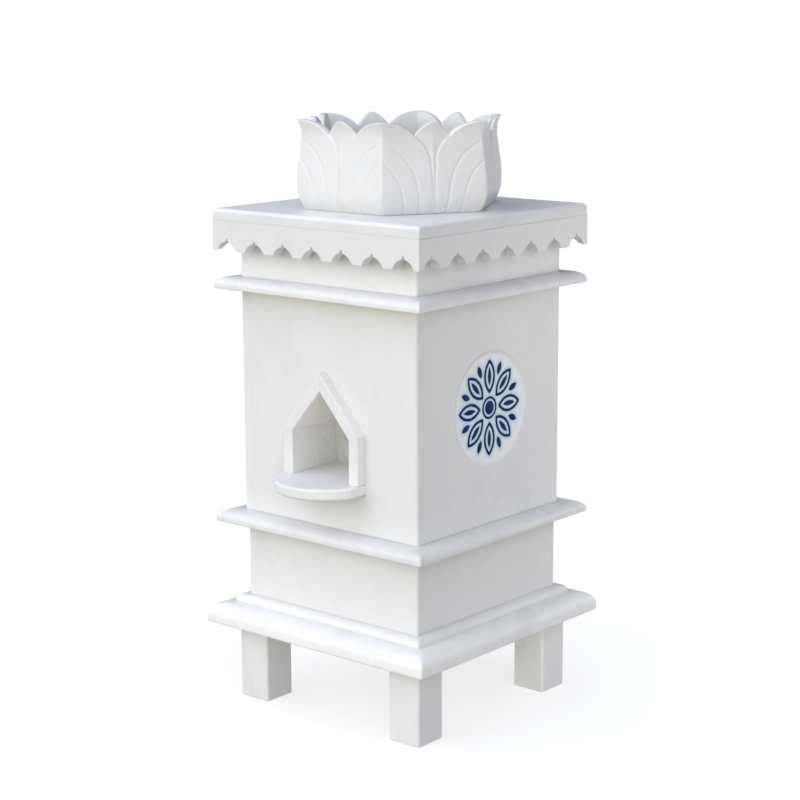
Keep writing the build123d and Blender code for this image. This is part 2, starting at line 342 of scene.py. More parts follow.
# ---------------- base slab and step
# The planter stands on one thick slab whose edge is ground by hand to a broad soft round,
# so its corners are softened in plan too. A thin slab lies on it as a step for the dado.
# Rain drains through a hole in the middle of every slab.
PLAN_CORNER = 2.5 * MM  # softened corner of a slab, seen from above
MITRE_ROUND = 0.35  # share of a ring's inset that its corner's radius grows by
DRAIN_HOLE = 20 * MM
HOLE_EDGE = 0.8 * MM
HOLE_RIM = DRAIN_HOLE + 4 * HOLE_EDGE
CORNER_STEPS, SLAB_SIDE_POINTS = 8, 24


def with_side_points(rings, count):
    """Rings of a four-cornered outline with more points, evenly spaced, along each straight side."""
    by_corner = rings.reshape(len(rings), 4, -1, 3)
    share = np.linspace(0, 1, count + 2)[1:-1, None]
    between = by_corner[:, :, -1:] * (1 - share) + np.roll(by_corner[:, :, :1], -1, axis=1) * share
    return np.concatenate([by_corner, between], axis=2).reshape(len(rings), -1, 3)


def nosed(low, high, ease, reach, rise, steps=12):
    """The (inset, height) of each ring of a slab: over its eased bottom edge, up the side, and over a
    quarter of an ellipse, whose half axes are the reach inwards and the rise."""
    foot = bent([(1.5 * ease + FLAT, low), (0, low), (0, high - rise)], (0, ease, 0), 5)
    angle = np.linspace(0, math.pi / 2, steps + 1)
    nose = np.stack([reach * (1 - np.cos(angle)), high - rise * (1 - np.sin(angle))], axis=1)
    return np.concatenate([foot, nose, [(reach + FLAT, high)]])


def moulded(node, ease, reach, rise, corner=PLAN_CORNER, **look):
    """A slab with a rounded edge and a drain hole, as a closed loop of rings: over the outside, and back
    down through the hole, whose ring has each point of the outline in its own direction."""
    plan, low, high = block_outline(node)
    profile = nosed(low, high, ease, reach, rise)
    corner_radii = corner + (1 + MITRE_ROUND) * profile[:, :1]
    outside = carried(moved_in(plan, profile[:, 0]), profile, corner_radii, CORNER_STEPS)
    outside = with_side_points(outside, SLAB_SIDE_POINTS)
    bore = [(HOLE_RIM, high), (DRAIN_HOLE, high), (DRAIN_HOLE, low), (HOLE_RIM, low)]
    bore = bent(bore, (0, HOLE_EDGE, HOLE_EDGE, 0), 4)
    hole = at_heights(bore[:, :1, None] * unit(outside[-1, :, :2]), bore[:, 1])
    rings = np.concatenate([outside, hole])
    slab = mesh_piece(node + "_stone", rings.reshape(-1, 3), ring_faces(*rings.shape[:2], loop=True))
    clad(slab, node, **look)


# The base slab is painted paler (tone 1.11), painted light for the light that its broad round catches.
moulded("base_slab", ease=5 * MM, reach=28 * MM, rise=19 * MM, shift=(2.2, 1.4, 0.3), tone=1.11, cloud=0.8,
        veins=0.6, honey=0.2, mottle=0.25)
moulded("base_step", ease=0.5 * MM, reach=12 * MM, rise=9 * MM, shift=(0.2, 3.1, 0.8), tone=1.04, honey=0.3)

# ---------------- panels of the dado, shaft and neck
# Each course is a box of four upright boards glued edge to face, every board covering
# an end of the next, so that each corner shows a fine upright joint 18 mm from the edge.
SIDES = ("front", "right", "back", "left")
BOARD_EDGE = 5 * MM  # a course's corner, rubbed round
HAIR = 0.15 * MM  # easing of a glued edge, which leaves the joint just visible
SEAT_EDGE = 0.7 * MM  # easing of a board's foot and head, where it meets a slab


def board(course, side, shift, **look):
    """An upright board of the pedestal, sawn square, with the corner of its course rubbed down."""
    node = f"{course}_{side}_panel"
    plan, low, high = block_outline(node)
    edges = np.full((1, 4), HAIR)
    edges[0, (SIDES.index(side) + 1) % 4] = BOARD_EDGE
    piece = prism(node + "_stone", plan, edge_profile(low, high, SEAT_EDGE, SEAT_EDGE, steps=2), edges)
    clad(piece, node, shift, **look)


# The neck's boards are painted paler (tone 1.06), painted light that lifts the shade under the valance.
for row, course in enumerate(("dado", "neck")):
    for number, side in enumerate(SIDES):
        board(course, side, (0.9 * number + 3.3 * row, 1.3 * row, 0.6 * number), tone=1 + 0.06 * row)
board("shaft", "back", (4.1, 0.8, 2.0), cloud=0.6, veins=0.45)
board("shaft", "left", (5.3, 2.2, 0.4), cloud=0.6, veins=0.45)

# ---------------- cornice slabs
# Three slabs lie between the courses. Their edges are worked to the same broad round as the
# base slab's, with the bottom edge only eased. The top slab's edge is finer, over the valance.
moulded("middle_slab", ease=3 * MM, reach=21 * MM, rise=12 * MM, shift=(6.6, 0.5, 1.9), tone=0.99,
        cloud=0.9, veins=0.8, honey=0.3, mottle=0.35)
moulded("upper_slab", ease=3 * MM, reach=20 * MM, rise=12 * MM, shift=(7.4, 1.5, 0.2), tone=1.04,
        cloud=0.9, veins=0.7, honey=0.2, mottle=0.25)
moulded("top_slab", ease=0.5 * MM, reach=8 * MM, rise=6 * MM, corner=4 * MM, shift=(8.8, 0.1, 1.2),
        cloud=0.7, veins=0.45)

# ---------------- lamp niche
# A small gabled house of boards is let into the front board: two jambs and two rafters
# stand out from the wall, with cheeks, ceiling boards and a back plate glued behind them.
# The sill runs right through under them and ends in a bull-nosed half round.
TOWARDS_FRONT = np.array([[1, 0, 0], [0, 0, 1], [0, -1, 0]])  # drawn in x and z, carried along -y
NICHE_EDGE = 2.4 * MM
GLUED = 0.1  # share of a front's rounding that the edges of its joints get
CHEEK_EDGE = 0.45 * MM  # easing that shows the joint between a jamb and the cheek behind it
ROOF_SLOPE = 49.2  # degrees
# a warm, pale colour painted on faces that look down: painted bounce light in the niche
DOWNWARD_PAINTED_BOUNCE = (0.93, 0.905, 0.85, 1)
back_low, back_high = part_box("niche_back")
jamb_low, jamb_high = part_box("niche_right_jamb")
sill_low, sill_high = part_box("niche_sill")
half_out, half_in = jamb_high[0], jamb_low[0]
spring, apex_out = jamb_high[2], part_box("niche_right_rafter")[1][2]
slope = math.tan(math.radians(ROOF_SLOPE))
eave_out = apex_out - half_out * slope
apex_in = spring + half_in * slope


def facing_down(recipe):
    """How far the stone faces down, which sets where the warm bounce light is painted on."""
    facing = recipe.node("ShaderNodeNewGeometry", {}, output="Normal")
    return recipe.node("ShaderNodeSeparateXYZ", {"Vector": facing}, output="Z").band(-0.25, -0.55)


def niche_board(node, side, section, free, front_edge, shift, **look):
    """A board of the niche: its section in x and z, mirrored for the left side, carried from back to
    front. Free says which of the section's edges are rounded in full."""
    low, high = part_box(node)
    shares = np.where(free, 1.0, GLUED)
    radii = np.where(np.logical_and(free, np.roll(free, 1)), NICHE_EDGE, HAIR)[None]
    outline = section * (side, 1)
    if side < 0:
        outline, radii, shares = outline[::-1], radii[:, ::-1], np.roll(shares[::-1], -1)
    profile = edge_profile(-high[1], -low[1], CHEEK_EDGE, front_edge, steps=4)
    piece = prism(node + "_stone", outline, profile, radii, TOWARDS_FRONT, shares=shares)
    clad(piece, node, shift, cloud=0.7, **look)


upright = rectangle(half_in, sill_high[2], half_out, spring), (False, True, False, True)
gable = [(half_in, spring), (half_out, spring), (half_out, eave_out), (0, apex_out), (0, apex_in)]
slanted = np.array(gable), (False, True, True, False, True)
for number, (name, side) in enumerate((("left", -1), ("right", 1))):
    niche_board(f"niche_{name}_jamb", side, *upright, NICHE_EDGE, (1.1 + number, 5.0, 0.3), tone=1.02)
    niche_board(f"niche_{name}_cheek", side, *upright, CHEEK_EDGE, (2.4 + number, 5.5, 0.9), tone=1.04,
                veins=0.45, honey=0.6, mottle=0.8)
    # rafters and ceilings are painted warmer and paler where they face down: painted bounce light
    niche_board(f"niche_{name}_rafter", side, *slanted, NICHE_EDGE, (3.8 + number, 6.0, 1.5), tone=1.02,
                tints=[(lambda recipe: facing_down(recipe) * 0.95, DOWNWARD_PAINTED_BOUNCE)])
    niche_board(f"niche_{name}_ceiling", side, *slanted, CHEEK_EDGE, (4.9 + number, 6.5, 2.1), honey=0.8,
                mottle=0.5, tints=[(lambda recipe: facing_down(recipe) * 0.9, DOWNWARD_PAINTED_BOUNCE)])


def gabled(foot):
    """The niche's outer outline, anticlockwise from its left foot."""
    return np.array([(-half_out, foot), (half_out, foot), (half_out, eave_out), (0, apex_out),
                     (-half_out, eave_out)])


back_profile = edge_profile(-back_high[1], -back_low[1], HAIR, HAIR, 2)
back_plate = prism("niche_back_stone", gabled(back_low[2]), back_profile, HAIR, TOWARDS_FRONT)
# The back plate is painted darker (tone 0.86), painted shade at the back of the niche.
clad(back_plate, "niche_back", (9.4, 2.2, 0.7), tone=0.86, cloud=0.9, honey=0.4, mottle=0.7)

FULL_ROUND = 2.5  # roundings deep that leave room for a whole quarter round
SILL_FOOT_EDGE, SILL_TOP_EDGE, SILL_PLAN_CORNER = 5 * MM, 4 * MM, 2 * MM
SILL_STRAIGHT = 16 * MM  # straight ends in front of the surround
SILL_POINTS = 40
sill_end = jamb_low[1] - SILL_STRAIGHT
sagitta = sill_end - sill_low[1]
sill_radius = (half_out**2 + sagitta**2) / (2 * sagitta)
half_turn = math.asin(half_out / sill_radius)
angles = np.linspace(-half_turn, half_turn, SILL_POINTS)
nose_line = sill_radius * np.stack([np.sin(angles), 1 - np.cos(angles)], axis=1) + (0, sill_low[1])
sill_plan = np.concatenate([nose_line, [(half_out, sill_high[1]), (-half_out, sill_high[1])]])
sill_profile = edge_profile(sill_low[2], sill_high[2], SILL_FOOT_EDGE, SILL_TOP_EDGE, 6, FULL_ROUND)
sill = prism("niche_sill_stone", sill_plan, sill_profile, SILL_PLAN_CORNER, steps=3)
clad(sill, "niche_sill", (0.6, 7.7, 1.1), tone=1.03, cloud=0.7, veins=0.5, honey=0.2)

# ---------------- shaft's front board
# The board with the niche has a gabled opening sawn through it, which the boards of the
# niche fill. Their joint shows as a fine line round the surround.
SEAT = SEAT_EDGE / BOARD_EDGE  # share of the corner's rounding that an edge on a slab gets
JOINT = HAIR / BOARD_EDGE  # and an edge that is glued to the next board
# a warm, pale band painted at the top of the board: painted light that lifts the shade under the slab
UNDER_SLAB_PAINTED_LIGHT = (0.91, 0.895, 0.80, 1)
PAINTED_LIGHT_BAND = 26 * MM  # how far below the slab the painted light reaches
wall_low, wall_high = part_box("shaft_front_panel")
wall_corners = rectangle(wall_low[0], wall_low[2], wall_high[0], wall_high[2])
wall_corners = np.insert(wall_corners, 3, (0, wall_high[2]), axis=0)  # one for each of the opening's
wall_profile = edge_profile(-wall_high[1], -wall_low[1], HAIR, BOARD_EDGE, steps=6, reach=FULL_ROUND)
opening_profile = edge_profile(-wall_low[1], -wall_high[1], HAIR, HAIR)
wall_outlines = moved_in(wall_corners, wall_profile[:, 0], (SEAT, 1, SEAT, SEAT, JOINT))
opening_outlines = moved_in(gabled(sill_low[2]), -opening_profile[:, 0])
wall_rings = np.concatenate([carried(wall_outlines, wall_profile, HAIR),
                             carried(opening_outlines, opening_profile, HAIR)]) @ TOWARDS_FRONT
front_board = mesh_piece("shaft_front_panel_stone", wall_rings.reshape(-1, 3),
                         ring_faces(*wall_rings.shape[:2], loop=True))
painted_light_from = wall_high[2] - PAINTED_LIGHT_BAND
# its top is painted warmer and paler, painted light under the slab
clad(front_board, "shaft_front_panel", (1.3, 9.1, 0.2), cloud=0.6, veins=0.25,
     tints=[(lambda recipe: recipe.level().band(painted_light_from, wall_high[2]) * 0.9, UNDER_SLAB_PAINTED_LIGHT)])

# ---------------- shaft's right board
# A shallow dish with a sloping rim is turned into the outside of this board, for the
# roundel. Its floor is rubbed finer and paler than the rest, and the blue stone stains it a little.
# Its sloping rim is painted paler too, a painted light that lifts the rim's shade.
TOWARDS_RIGHT = np.array([[0, 1, 0], [0, 0, 1], [1, 0, 0]])  # drawn in y and z, carried along x
DISH_RADIUS, DISH_SLOPE, DISH_DEPTH = 88.5 * MM, 6 * MM, 3 * MM
DISH_CENTRE = 179 * MM  # above the foot of the shaft
DISH_BRIM = 4 * MM  # flat ring beside each end of the slope
LIP_ROUND, FOOT_ROUND = 4 * MM, 5 * MM
FLOOR_STEP = 1.5 * MM
DISH_SIDE_POINTS = 60  # along each straight side of the board, for the rings of the dish
DISH_PALE_AND_RIM_LIGHT = (0.86, 0.88, 0.91, 1)
DISH_BLUE = (0.40, 0.56, 0.80, 1)
STAIN_REACH = 4 * MM
BUD, EYE_RING, EYE_STROKE = 10.6 * MM, 17.5 * MM, 3.8 * MM
PETALS, PETAL_MIDDLE, STROKE = 8, 48 * MM, 4.6 * MM
PETAL = (PETAL_MIDDLE, 26.5 * MM, 13.3 * MM)  # a leaf's middle, half its length and half its width
PETAL_VEIN = (PETAL_MIDDLE, 14.5 * MM, 4.1 * MM)
DROP = (62 * MM, 10.5 * MM, 4.9 * MM)


def leaf(middle, half_length, half_width, points=24):
    """A pointed oval along a petal's axis, anticlockwise: two equal arcs of a circle between its tips."""
    radius = (half_length**2 + half_width**2) / (2 * half_width)
    angle = np.linspace(1, -1, points + 1)[:-1] * math.asin(half_length / radius)
    over = np.stack([radius * np.sin(angle), radius * np.cos(angle) - radius + half_width], axis=1)
    return np.concatenate([over, -over]) + (middle, 0)


def circle(radius, points=48):
    """Points of a circle about the middle of the rosette, anticlockwise."""
    angle = np.arange(points) * 2 * math.pi / points
    return radius * np.stack([np.cos(angle), np.sin(angle)], axis=1)


petal, vein, drop = leaf(*PETAL), leaf(*PETAL_VEIN, 14), leaf(*DROP, 14)
sector = math.pi / PETALS


def stain(points):
    """How much blue the stone takes up at each point (n, 2) about the rosette's middle: it falls off as the
    exponential of the squared distance to the nearest blue stone. The points are folded into half a sector,
    where that is a petal's outline, its vein or half of the drop beside it."""
    angle = np.arctan2(points[:, 1], points[:, 0])
    angle = np.abs((angle + sector) % (2 * sector) - sector)
    radius = np.linalg.norm(points, axis=1)
    folded = radius[:, None] * np.stack([np.cos(angle), np.sin(angle)], axis=1)
    turn = np.array([[math.cos(sector), math.sin(sector)], [-math.sin(sector), math.cos(sector)]])
    leaf_edges = np.concatenate([vein, drop @ turn])
    stroke_middle = moved_in(petal, [STROKE / 2])[0]
    from_petal = np.linalg.norm(folded[:, None] - stroke_middle, axis=2).min(axis=1) - STROKE / 2
    from_leaf = np.linalg.norm(folded[:, None] - leaf_edges, axis=2).min(axis=1)
    nearest = np.minimum.reduce([from_petal, from_leaf, radius - EYE_RING])
    return np.exp(-(np.maximum(0, nearest) / STAIN_REACH)**2)


right_low, right_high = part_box("shaft_right_panel")
dish_middle = np.array([0, right_low[2] + DISH_CENTRE])
right_corners = rectangle(right_low[1], right_low[2], right_high[1], right_high[2])
right_profile = edge_profile(right_low[0], right_high[0], HAIR, BOARD_EDGE, steps=6, reach=FULL_ROUND)
right_outlines = moved_in(right_corners, right_profile[:, 0], (SEAT, 1, SEAT, 2 * JOINT))
right_rings = with_side_points(carried(right_outlines, right_profile, HAIR), DISH_SIDE_POINTS)
towards = unit(right_rings[-1, :, :2] - dish_middle)
dish_foot = DISH_RADIUS - DISH_SLOPE
dish_line = [(DISH_RADIUS + DISH_BRIM, 0), (DISH_RADIUS, 0), (dish_foot, -DISH_DEPTH),
             (dish_foot - DISH_BRIM, -DISH_DEPTH)]
dish_line = bent(dish_line, (0, LIP_ROUND, FOOT_ROUND, 0), 6)
floor_radii = np.arange(dish_line[-1, 0] - FLOOR_STEP, FLOOR_STEP, -FLOOR_STEP)
floor_line = np.stack([floor_radii, np.full_like(floor_radii, -DISH_DEPTH)], axis=1)
dish_line = np.concatenate([dish_line, floor_line])
dish_rings = at_heights(dish_middle + dish_line[:, :1, None] * towards, right_high[0] + dish_line[:, 1])
right_rings = np.concatenate([right_rings, dish_rings])
right_board = solid("shaft_right_panel_stone", right_rings @ TOWARDS_RIGHT)

placed = right_rings.reshape(-1, 3)
from_middle = placed[:, :2] - dish_middle
away = np.linalg.norm(from_middle, axis=1)
sunk = (right_high[0] - placed[:, 2]) / DISH_DEPTH
on_floor = (sunk > 0.9) & (away < DISH_RADIUS)
blue = np.zeros(len(away))
blue[on_floor] = stain(from_middle[on_floor])
# the dish's paleness: full on its floor, and ramped up the sloping rim as painted light against the rim's
# shade
in_dish = np.clip(sunk, 0, 1) * (away < DISH_RADIUS + DISH_BRIM)
for attribute, values in (("stain", blue), ("dish", in_dish)):
    right_board.data.attributes.new(attribute, "FLOAT", "POINT").data.foreach_set("value", values)
clad(right_board, "shaft_right_panel", (3.3, 4.6, 1.8), cloud=0.55, veins=0.5,
     tints=[(lambda recipe: recipe.painted("dish") * 0.7, DISH_PALE_AND_RIM_LIGHT),
            (lambda recipe: recipe.painted("stain") * 0.75, DISH_BLUE)])

# ---------------- roundel inlay
# A rosette of deep blue stone is let into the floor of the dish, stroke by stroke, in
# grooves cut for it. Each stroke is ground nearly flush and polished, and its blue is
# cloudy, with lighter brushed streaks.
PROUD, LET_IN = 0.25 * MM, 1.0 * MM  # how far the stone stands over the dish's floor and into it
SOFT = 0.4 * MM  # rounding of its upper edges
STONE_EDGE = [(0, -LET_IN), (0, PROUD - SOFT), (0.3 * SOFT, PROUD - 0.3 * SOFT), (SOFT, PROUD)]
DEEP_BLUE = (0.001, 0.012, 0.062, 1)
BLUE = (0.009, 0.045, 0.15, 1)
PALE_BLUE = (0.025, 0.09, 0.24, 1)


def joined(parts):
    """Several meshes, each its vertices and faces, as one."""
    vertices = np.concatenate([part[0].reshape(-1, 3) for part in parts])
    starts = np.cumsum([0] + [part[0].size // 3 for part in parts])
    faces = [[start + corner for corner in face] for start, part in zip(starts, parts)
             for face in part[1]]
    return vertices, faces


def stroke_round(outline, width):
    """A stroke along the inside of an outline, as a closed loop of rings over its top and under it."""
    far_edge = [(width - inset, height) for inset, height in STONE_EDGE[::-1]]
    section = np.array(STONE_EDGE + far_edge)
    rings = at_heights(moved_in(outline, section[:, 0]), section[:, 1])
    return rings, ring_faces(*rings.shape[:2], loop=True)


def filled(outline):
    """A whole leaf or disc of stone, with a soft upper edge."""
    section = np.array(STONE_EDGE)
    rings = at_heights(moved_in(outline, section[:, 0]), section[:, 1])
    return rings, capped_faces(*rings.shape[:2])


def turned(part, angle):
    """A mesh turned about the middle of the rosette."""
    cosine, sine = math.cos(angle), math.sin(angle)
    return part[0] @ np.array([[cosine, sine, 0], [-sine, cosine, 0], [0, 0, 1]]), part[1]


pieces = [filled(circle(BUD)), stroke_round(circle(EYE_RING), EYE_STROKE)]
for number in range(PETALS):
    middle = 2 * sector * number
    pieces += [turned(stroke_round(petal, STROKE), middle), turned(filled(vein), middle),
               turned(filled(drop), middle + sector)]
vertices, faces = joined(pieces)
vertices += (*dish_middle, right_high[0] - DISH_DEPTH)
inlay = mesh_piece("roundel_inlay_stone", vertices @ TOWARDS_RIGHT, faces)
lapis = Recipe("roundel_lapis")
at = lapis.place((0, 0, 0))
brushed = lapis.noise(at, 140.0, detail=4, roughness=0.7).band(0.40, 0.66)
cloudy = lapis.noise(at, 45.0, detail=3).band(0.45, 0.70)
colour = lapis.mix(cloudy * 0.45, lapis.mix(brushed * 0.55, DEEP_BLUE, BLUE), PALE_BLUE)
grain = lapis.node("ShaderNodeBump", {"Strength": 0.25, "Distance": 0.4 * MM, "Height": brushed})
polished = lapis.finish(Base_Color=colour, Roughness=brushed * 0.2 + 0.32, Normal=grain,
                        Specular_IOR_Level=0.04)
settle(inlay, polished, "blue_inlay", "roundel_inlay")

# ---------------- valance
# Four boards with a cusped lower edge hang from the top slab, clear of the neck. The
# pointed notches are sawn and filed by hand, so no two are quite alike.
NOTCHES, NOTCH_HALF, NOTCH_RISE = 7, 20 * MM, 21 * MM
ARCH_RISE, SPIKE_HALF, FLANK_SWELL = 14.5 * MM, 3 * MM, 2.8 * MM
FLANK_POINTS = 8
HAND = 0.6 * MM  # how far hand work strays
HAND_SEED = 4
VALANCE_EDGE, VALANCE_BACK_EDGE = 1.3 * MM, 0.5 * MM
CUT_RINGS = 9  # rings across the next board's end, which follow the notch cut into it
CUT_START, CUT_END = 1.5 * MM, 7.5 * MM
hang_low, hang_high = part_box("valance_front_panel")
half_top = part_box("top_slab")[1][0]
board_start = hang_low[0]
pitch = 2 * half_top / NOTCHES
hand_work = np.random.default_rng(HAND_SEED).uniform(-HAND, HAND, (4, NOTCHES, 4))


def notch(board, place):
    """A notch's outline from its left foot over its tip to its right foot: a keel arch. Each flank is
    a chord that swells by a parabola up to the foot of a narrow spike, and feet and tip stray by the
    hand."""
    left, right, tip, rise = hand_work[board % 4, place]
    middle = (place + 0.5) * pitch - half_top
    feet = np.array([(middle - NOTCH_HALF + left, 0), (middle + NOTCH_HALF + right, 0)])
    spike = np.array([(middle - SPIKE_HALF + tip, ARCH_RISE + rise),
                      (middle + SPIKE_HALF + tip, ARCH_RISE + rise)])
    share = np.linspace(0, 1, FLANK_POINTS)[:, None]
    flanks = []
    for start, end in ((feet[0], spike[0]), (spike[1], feet[1])):
        chord = end - start
        outward = unit(np.array([-chord[1], chord[0]]))
        flanks.append(start + share * chord + 4 * FLANK_SWELL * share * (1 - share) * outward)
    return np.concatenate([flanks[0], [(middle + tip, NOTCH_RISE + rise)], flanks[1]]) + (0, hang_low[2])


def valance_board(board):
    """A board's rings, as if it were the front one: its cusped outline from back to front, with the
    start of the next board's first notch cut up into its end."""
    first = notch(board, 0)
    cut_level = np.interp(board_start, first[:, 0], first[:, 1])
    lower = [[(board_start, cut_level)], first[first[:, 0] > board_start + MM]]
    lower += [notch(board, place) for place in range(1, NOTCHES)]
    rest = [[(half_top, hang_low[2]), (half_top, hang_high[2]), (board_start, hang_high[2])]]
    outline = np.concatenate([np.array(part, float) for part in lower + rest])
    profile = edge_profile(-hang_high[1], -hang_low[1], VALANCE_BACK_EDGE, VALANCE_EDGE, steps=4)
    depths = np.linspace(hang_high[1] - CUT_START, hang_high[1] - CUT_END, CUT_RINGS)
    in_the_cut = np.stack([np.zeros(CUT_RINGS), -depths], axis=1)
    profile = np.insert(profile, len(profile) // 2, in_the_cut, axis=0)
    drawn = moved_in(outline, profile[:, 0])
    drawn[:, [0, -1], 0] = board_start + GLUED * profile[:, :1]
    rings = carried(drawn, profile, VALANCE_EDGE, 3) @ TOWARDS_FRONT
    across, level = rings[..., 0], rings[..., 2]
    flank = notch(board + 1, 0)[:FLANK_POINTS + 1]
    lift = np.interp(rings[..., 1], flank[:, 0], flank[:, 1], left=hang_low[2])
    corner_round = (across > half_top - 2 * VALANCE_EDGE) & (level < hang_low[2] + 3 * VALANCE_EDGE)
    lift = lift + np.where(corner_round, level - hang_low[2], 0)
    rings[..., 2] = np.where((across > -board_start) & (level < lift), lift, level)
    return rings


for number, side in enumerate(SIDES):
    turn = np.array(Matrix.Rotation(math.radians(90 * number), 3, "Z")).T
    node = f"valance_{side}_panel"
    piece = solid(node + "_stone", valance_board(number) @ turn)
    clad(piece, node, (0.7 * number, 2.9, 5.1), honey=0.12)

# ---------------- lotus pot
# The pot is carved from one block: six upright faces of one curved section, with a
# flared petal over each corner and a smaller bud petal in the middle of each face. Each
# corner petal is cut with two echo lines, and the bud lies behind it with a ridge.
SIDE = 80.0  # half a face in the drawing, which is in millimetres
CREST = (29.0, 114.5)  # the rim's notch between bud and corner petal, out and up
CORNER_RADIUS = 158.5  # of the hexagon, without its curves
BELLY, BELLY_LEVEL, BELLY_HALF = 8, 40, 78
DRAWN_IN, FOOT_HEIGHT = 8.8, 30
FLARE, FLARE_START = 7, 112
WALL, POT_FLOOR, DRAIN, FLOOR_ROUND = 12.0, 20.0, 10.0, 6.0
FOOT_EASE, LIP_EASE, DRAIN_EASE = 1.2, 2.0, 1.0
ECHO_SPLIT = 0.68  # share of an echo line that lies beside the petal's edge below the rim
CORNER_TOP = 60  # where the corner's plain strip ends
MEAN_RADIUS = 150.0
GROOVE, GROOVE_WIDTH, FOOT_GROOVE = 0.9, 1.6, 0.7  # the last is how much deeper it is cut at the foot
FADE_OUTER, FADE_INNER = 14, 4  # how far from the corner each echo line fades
BUD_START, BUD_END = 66, 96
STEP_BACK, STEP_WIDTH, RIDGE = 4.2, 1.8, 3.0
LEAST_HALF_BUD = 4
CORNER_DRESSED, CORNER_DRESSED_WIDTH = 0.9, 3  # how far the carver rubs the corner down
COLUMNS, LOW_ROWS, RIM_ROWS = 13, 40, 39
CURVE_POINTS, LIP_STEPS, WALL_RINGS = 160, 5, 14
WELD = 0.002 * MM  # points of neighbouring strips that lie closer than this are one
INSIDE_PAINTED_SHADE = (0.63, 0.63, 0.625, 1)
FLAT_SHARE, HALF_FACE = math.cos(math.radians(30)), math.tan(math.radians(30))  # of a hexagon
pot_low, pot_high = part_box("lotus_pot")
POT_HEIGHT = (pot_high[2] - pot_low[2]) / MM


def bezier(points, share):
    """A cubic curve: the four points weighted by the Bernstein polynomials of the share."""
    share = np.asarray(share)[:, None]
    rest = 1 - share
    first, second, third, last = np.array(points, float)
    return rest**3 * first + 3 * share * rest**2 * second + 3 * share**2 * rest * third + share**3 * last


def coons(left, right, bottom, top, across, up):
    """A grid (rows, columns, 2) filling four edges: the blend of left and right, plus the blend of
    bottom and top, less the blend of the four corners."""
    across, up = across[None, :, None], up[:, None, None]
    sides = (1 - across) * left[:, None] + across * right[:, None]
    ends = (1 - up) * bottom[None] + up * top[None]
    below = (1 - across) * left[0] + across * right[0]
    above = (1 - across) * left[-1] + across * right[-1]
    return sides + ends - ((1 - up) * below + up * above)


def corner_radius(z):
    """The hexagon's radius by height: a belly like a squared cosine, drawn in at the foot and flared at
    the rim."""
    belly = BELLY * np.cos(np.clip((z - BELLY_LEVEL) / BELLY_HALF, -1, 1) * math.pi / 2)**2
    foot = DRAWN_IN * np.maximum(0, 1 - z / FOOT_HEIGHT)**2
    flare = FLARE * np.maximum(0, (z - FLARE_START) / (POT_HEIGHT - FLARE_START))**2
    return CORNER_RADIUS + belly - foot + flare


def smooth(value, low, high):
    """0 below low and 1 above high, with a smooth step between."""
    share = np.clip((value - low) / (high - low), 0, 1)
    return share**2 * (3 - 2 * share)


clustered = (1 - np.cos(np.linspace(0, math.pi, COLUMNS + 1))) / 2
evenly = np.linspace(0, 1, LOW_ROWS + 1)
rim_share = np.linspace(0, 1, RIM_ROWS + 1)
bud_rim = bezier([(0, POT_HEIGHT), (5, POT_HEIGHT), (14, 131), CREST], clustered)
petal_rim = bezier([CREST, (40, 127), (56, POT_HEIGHT), (SIDE, POT_HEIGHT)], rim_share)
rim = np.concatenate([bud_rim, petal_rim[1:]])
rim_line = np.concatenate([[(-rim[1, 0], rim[1, 1])], rim, [(2 * SIDE - rim[-2, 0], rim[-2, 1])]])
rim_run = unit(np.diff(rim_line, axis=0))
down = np.stack([rim_run[:, 1], -rim_run[:, 0]], axis=1)
down = (down[1:] + down[:-1]) / (1 + np.sum(down[1:] * down[:-1], axis=1, keepdims=True))
shoulder = rim + LIP_EASE * down

edge_points = [(2.5, FOOT_EASE), (-1, 75), (4, 97), tuple(shoulder[COLUMNS])]
outer_echo_points = [(22.5, FOOT_EASE), (22, 45), (26, 84), (SIDE, 106)]
inner_echo_points = [(45.5, FOOT_EASE), (45, 35), (52, 60), (SIDE, 77)]
petal_edge = bezier(edge_points, evenly)
climb = np.concatenate([ECHO_SPLIT * evenly, ECHO_SPLIT + (1 - ECHO_SPLIT) * rim_share[1:]])
climb_evenly = np.linspace(0, 1, len(climb))
outer_echo, inner_echo = bezier(outer_echo_points, climb), bezier(inner_echo_points, climb)


def straight(start, end, share):
    """Points on a straight line."""
    share = np.asarray(share)[:, None]
    return np.array(start, float) * (1 - share) + np.array(end, float) * share


def strip(left, right, bottom_left, top, up):
    """A grid between two lines, from a straight bottom that starts at bottom_left to a given top."""
    return coons(left, right, straight(bottom_left, right[0], clustered), top, clustered, up)


corner_line = straight((SIDE, FOOT_EASE), (SIDE, CORNER_TOP), climb)
bud_middle = straight((0, FOOT_EASE), shoulder[0], evenly)
petal_side = np.concatenate([petal_edge, shoulder[COLUMNS + 1:]])
strips = [strip(bud_middle, petal_edge, (0, FOOT_EASE), shoulder[:COLUMNS + 1], evenly)]
for left, right in ((petal_side, outer_echo), (outer_echo, inner_echo), (inner_echo, corner_line)):
    strips.append(strip(left, right, left[0], straight(left[-1], right[-1], clustered), climb_evenly))


def distance(points, control):
    """The distance of each point (n, 2) from a curve."""
    along = bezier(control, np.linspace(0, 1, CURVE_POINTS))
    return np.sqrt(((points[:, None] - along)**2).sum(axis=2).min(axis=1))


def groove(away):
    """A groove's share of its full depth: the exponential of minus the squared distance in widths."""
    return np.exp(-(away / GROOVE_WIDTH)**2)


